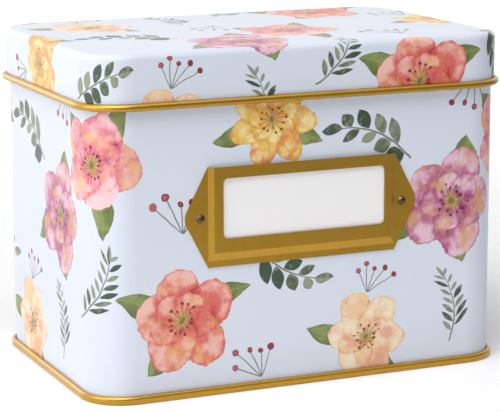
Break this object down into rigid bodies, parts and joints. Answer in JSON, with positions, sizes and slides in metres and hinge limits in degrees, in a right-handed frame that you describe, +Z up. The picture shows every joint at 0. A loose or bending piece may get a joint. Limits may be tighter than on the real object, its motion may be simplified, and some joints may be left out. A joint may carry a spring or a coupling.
{
  "type": "recipe card box",
  "caption": "Hinged tinplate box for recipe cards, with rolled gold edges and a riveted label frame on the front that holds a loose card.",
  "frame": {"origin": "centre of the footprint, on the resting plane", "axes": "+X along the width, +Y towards the hinge, +Z up; the label frame faces -Y"},
  "size_m": [0.171, 0.114, 0.1264],
  "materials": {
    "printed_tin": "satin print, gold enamel on the rolled edge and the inside",
    "gold_enamel": "matte gold enamel",
    "steel_wire": "drawn wire",
    "bronze_rivet": "dull bronze plating",
    "paper_card": "uncoated card"
  },
  "bodies": {
    "box": {"body_wall": "printed_tin", "base_pan": "gold_enamel", "hinge_lug_left": "gold_enamel", "hinge_lug_right": "gold_enamel", "hinge_rivets": "bronze_rivet", "label_holder": "gold_enamel", "label_rivets": "bronze_rivet"},
    "lid": {"lid": "printed_tin", "hinge_wire": "steel_wire"},
    "label_card": {"label_card": "paper_card"}
  },
  "joints": [
    {"name": "lid_hinge", "type": "hinge", "parent": "box", "child": "lid", "pos_m": [0, 0.05565, 0.1077], "axis": [-1, 0, 0], "range_deg": [0, 110]},
    {"name": "label_slide", "type": "slide", "parent": "box", "child": "label_card", "axis": [0, 0, 1], "range_m": [0, 0.022]}
  ]
}
